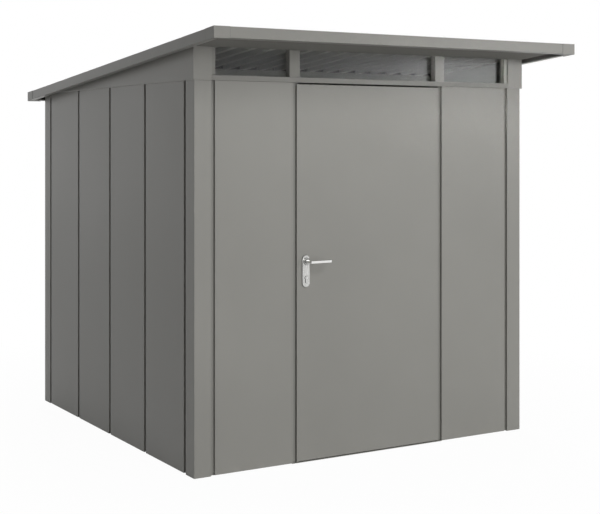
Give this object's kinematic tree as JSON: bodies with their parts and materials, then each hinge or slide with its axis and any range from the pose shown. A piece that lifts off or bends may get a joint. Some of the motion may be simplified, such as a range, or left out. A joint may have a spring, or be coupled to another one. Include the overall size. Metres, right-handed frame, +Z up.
{
  "type": "metal tool shed",
  "caption": "Square garden tool shed of folded grey sheet metal with grooved cassette walls, one hinged door with a lever handle, a glazed strip above it and a single-pitch roof.",
  "frame": {"origin": "on the ground under the middle of the roof's plan", "axes": "+Z up, +X to the right along the front as seen from the front, +Y from the front to the back"},
  "size_m": [2.1504, 2.4384, 2.0897],
  "materials": {
    "grey_coated_sheet": "satin powder coat",
    "clear_glazing": "clear",
    "stainless_steel": "fine brushed"
  },
  "bodies": {
    "shed": {"clerestory_glass": "clear_glazing", "door_threshold": "grey_coated_sheet", "front_base_rails": "grey_coated_sheet", "front_fascia": "grey_coated_sheet", "front_left_panel": "grey_coated_sheet", "front_left_post": "grey_coated_sheet", "front_lintel": "grey_coated_sheet", "front_right_panel": "grey_coated_sheet", "front_right_post": "grey_coated_sheet", "front_soffit": "grey_coated_sheet", "glazing_mullions": "grey_coated_sheet", "glazing_side_strips": "grey_coated_sheet", "left_base_rail": "grey_coated_sheet", "left_door_jamb": "grey_coated_sheet", "left_fascia": "grey_coated_sheet", "left_front_cap": "grey_coated_sheet", "left_gable": "grey_coated_sheet", "left_panel_1": "grey_coated_sheet", "left_panel_2": "grey_coated_sheet", "left_panel_3": "grey_coated_sheet", "left_panel_4": "grey_coated_sheet", "lower_pivot": "stainless_steel", "rear_base_rail": "grey_coated_sheet", "rear_fascia": "grey_coated_sheet", "rear_left_post": "grey_coated_sheet", "rear_panel_1": "grey_coated_sheet", "rear_panel_2": "grey_coated_sheet", "rear_panel_3": "grey_coated_sheet", "rear_panel_4": "grey_coated_sheet", "rear_right_post": "grey_coated_sheet", "rear_top_rail": "grey_coated_sheet", "right_base_rail": "grey_coated_sheet", "right_door_jamb": "grey_coated_sheet", "right_fascia": "grey_coated_sheet", "right_front_cap": "grey_coated_sheet", "right_gable": "grey_coated_sheet", "right_panel_1": "grey_coated_sheet", "right_panel_2": "grey_coated_sheet", "right_panel_3": "grey_coated_sheet", "right_panel_4": "grey_coated_sheet", "roof_corner_caps": "grey_coated_sheet", "roof_deck": "grey_coated_sheet", "roof_purlins": "grey_coated_sheet", "upper_pivot": "stainless_steel"},
    "door": {"door_leaf": "grey_coated_sheet", "door_lining": "grey_coated_sheet", "outer_handle_plate": "stainless_steel", "inner_handle_plate": "stainless_steel", "lock_cylinder": "stainless_steel"},
    "lever": {"outer_lever": "stainless_steel", "inner_lever": "stainless_steel"}
  },
  "joints": [
    {"name": "door_hinge", "type": "hinge", "parent": "shed", "child": "door", "pos_m": [0.426, -0.8755, 0], "axis": [0, 0, 1], "range_deg": [0, 100]},
    {"name": "lever_turn", "type": "hinge", "parent": "door", "child": "lever", "pos_m": [-0.386, -0.88, 0.988], "axis": [0, 1, 0], "range_deg": [0, 45], "stiffness_Nm_per_rad": 1.2, "springref_deg": -45.84}
  ]
}
